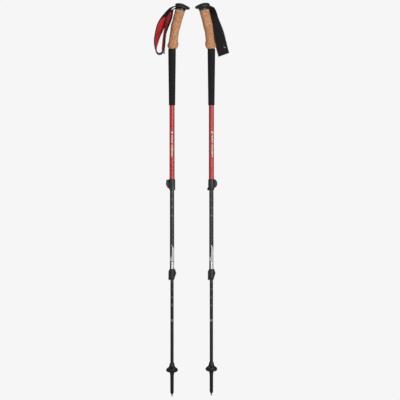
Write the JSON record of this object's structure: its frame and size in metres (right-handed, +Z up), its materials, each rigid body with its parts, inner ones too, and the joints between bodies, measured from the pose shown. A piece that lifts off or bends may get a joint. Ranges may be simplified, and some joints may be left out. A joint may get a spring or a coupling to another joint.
{
  "type": "trekking poles",
  "caption": "Pair of telescoping trekking poles with canted cork grips, wrist straps, cam-lever clamps, baskets and carbide tips.",
  "frame": {"origin": "ground point midway between the two pole axes, level with the left pole's tip", "axes": "+Z up along both poles, +X from the left pole to the right pole, +Y away from the side that is looked at"},
  "size_m": [0.2294, 0.0541, 1.1999],
  "materials": {
    "head_rubber": "soft-touch moulded rubber",
    "head_plastic": "satin moulded plastic",
    "inner_plastic": "moulded plastic",
    "cork": "sanded agglomerated cork",
    "steel": "black zinc-plated steel",
    "webbing": "woven polyester webbing",
    "lining": "brushed fleece",
    "foam": "closed-cell foam",
    "red_tube": "satin anodised",
    "grey_tube": "satin anodised",
    "black_tube": "satin anodised",
    "clamp_plastic": "glass-filled nylon",
    "lever_plastic": "glass-filled nylon",
    "bush_plastic": "acetal",
    "tip_plastic": "moulded nylon",
    "basket_plastic": "moulded plastic",
    "carbide": "sintered carbide"
  },
  "bodies": {
    "left_grip": {"left_head_cap": "head_rubber", "left_head_base": "head_plastic", "left_grip_core": "inner_plastic", "left_cork_grip": "cork", "left_strap_wedge": "inner_plastic", "left_strap_pin": "steel", "left_foam_sleeve": "foam", "left_upper_tube": "red_tube", "left_upper_collar": "clamp_plastic", "left_upper_cam_pin": "steel", "left_upper_screw": "steel"},
    "left_strap": {"left_wrist_strap": "webbing", "left_strap_lining": "lining"},
    "left_upper_cam": {"left_upper_lever": "lever_plastic"},
    "left_middle_slider": {"left_middle_bush": "bush_plastic"},
    "left_middle": {"left_middle_tube": "grey_tube", "left_lower_collar": "clamp_plastic", "left_lower_cam_pin": "steel", "left_lower_screw": "steel"},
    "left_lower_cam": {"left_lower_lever": "lever_plastic"},
    "left_lower_slider": {"left_lower_bush": "bush_plastic"},
    "left_lower": {"left_lower_tube": "black_tube", "left_ferrule": "tip_plastic", "left_carbide_tip": "carbide"},
    "left_snow_guard": {"left_basket": "basket_plastic"},
    "right_grip": {"right_head_cap": "head_rubber", "right_head_base": "head_plastic", "right_grip_core": "inner_plastic", "right_cork_grip": "cork", "right_strap_wedge": "inner_plastic", "right_strap_pin": "steel", "right_foam_sleeve": "foam", "right_upper_tube": "red_tube", "right_upper_collar": "clamp_plastic", "right_upper_cam_pin": "steel", "right_upper_screw": "steel"},
    "right_strap": {"right_wrist_strap": "webbing", "right_strap_lining": "lining"},
    "right_upper_cam": {"right_upper_lever": "lever_plastic"},
    "right_middle_slider": {"right_middle_bush": "bush_plastic"},
    "right_middle": {"right_middle_tube": "grey_tube", "right_lower_collar": "clamp_plastic", "right_lower_cam_pin": "steel", "right_lower_screw": "steel"},
    "right_lower_cam": {"right_lower_lever": "lever_plastic"},
    "right_lower_slider": {"right_lower_bush": "bush_plastic"},
    "right_lower": {"right_lower_tube": "black_tube", "right_ferrule": "tip_plastic", "right_carbide_tip": "carbide"},
    "right_snow_guard": {"right_basket": "basket_plastic"}
  },
  "joints": [
    {"name": "left_basket_release", "type": "slide", "parent": "left_lower", "child": "left_snow_guard", "axis": [0, 0, -1], "range_m": [0, 0.06]},
    {"name": "left_lower_turn", "type": "hinge", "parent": "left_lower", "child": "left_lower_slider", "pos_m": [-0.06, 0, 0.5135], "axis": [0, 0, 1], "continuous": true},
    {"name": "left_lower_slide", "type": "slide", "parent": "left_lower_slider", "child": "left_middle", "axis": [0, 0, 1], "range_m": [-0.24, 0.08]},
    {"name": "left_lower_clamp", "type": "hinge", "parent": "left_middle", "child": "left_lower_cam", "pos_m": [-0.06119, 0.01593, 0.376], "axis": [0, 0, -1], "range_deg": [0, 120]},
    {"name": "left_middle_turn", "type": "hinge", "parent": "left_middle", "child": "left_middle_slider", "pos_m": [-0.06, 0, 0.787], "axis": [0, 0, 1], "continuous": true},
    {"name": "left_middle_slide", "type": "slide", "parent": "left_middle_slider", "child": "left_grip", "axis": [0, 0, 1], "range_m": [-0.235, 0.08]},
    {"name": "left_upper_clamp", "type": "hinge", "parent": "left_grip", "child": "left_upper_cam", "pos_m": [-0.0738, -0.00805, 0.6495], "axis": [0, 0, -1], "range_deg": [0, 120]},
    {"name": "left_strap_swing", "type": "hinge", "parent": "left_grip", "child": "left_strap", "pos_m": [-0.0465, 0, 1.1875], "axis": [0, 1, 0], "range_deg": [0, 40]},
    {"name": "right_basket_release", "type": "slide", "parent": "right_lower", "child": "right_snow_guard", "axis": [0, 0, -1], "range_m": [0, 0.06]},
    {"name": "right_lower_turn", "type": "hinge", "parent": "right_lower", "child": "right_lower_slider", "pos_m": [0.06, 0, 0.5165], "axis": [0, 0, 1], "continuous": true},
    {"name": "right_lower_slide", "type": "slide", "parent": "right_lower_slider", "child": "right_middle", "axis": [0, 0, 1], "range_m": [-0.237, 0.08]},
    {"name": "right_lower_clamp", "type": "hinge", "parent": "right_middle", "child": "right_lower_cam", "pos_m": [0.05881, 0.01593, 0.376], "axis": [0, 0, -1], "range_deg": [0, 120]},
    {"name": "right_middle_turn", "type": "hinge", "parent": "right_middle", "child": "right_middle_slider", "pos_m": [0.06, 0, 0.787], "axis": [0, 0, 1], "continuous": true},
    {"name": "right_middle_slide", "type": "slide", "parent": "right_middle_slider", "child": "right_grip", "axis": [0, 0, 1], "range_m": [-0.235, 0.08]},
    {"name": "right_upper_clamp", "type": "hinge", "parent": "right_grip", "child": "right_upper_cam", "pos_m": [0.0691, 0.01313, 0.6495], "axis": [0, 0, -1], "range_deg": [0, 120]},
    {"name": "right_strap_swing", "type": "hinge", "parent": "right_grip", "child": "right_strap", "pos_m": [0.04777, -0.00571, 1.1875], "axis": [0.4226, -0.9063, 0], "range_deg": [0, 40]},
    {"name": "poles_apart", "type": "slide", "parent": "left_lower", "child": "right_lower", "axis": [1, 0, 0], "range_m": [-0.012, 0.3]}
  ]
}
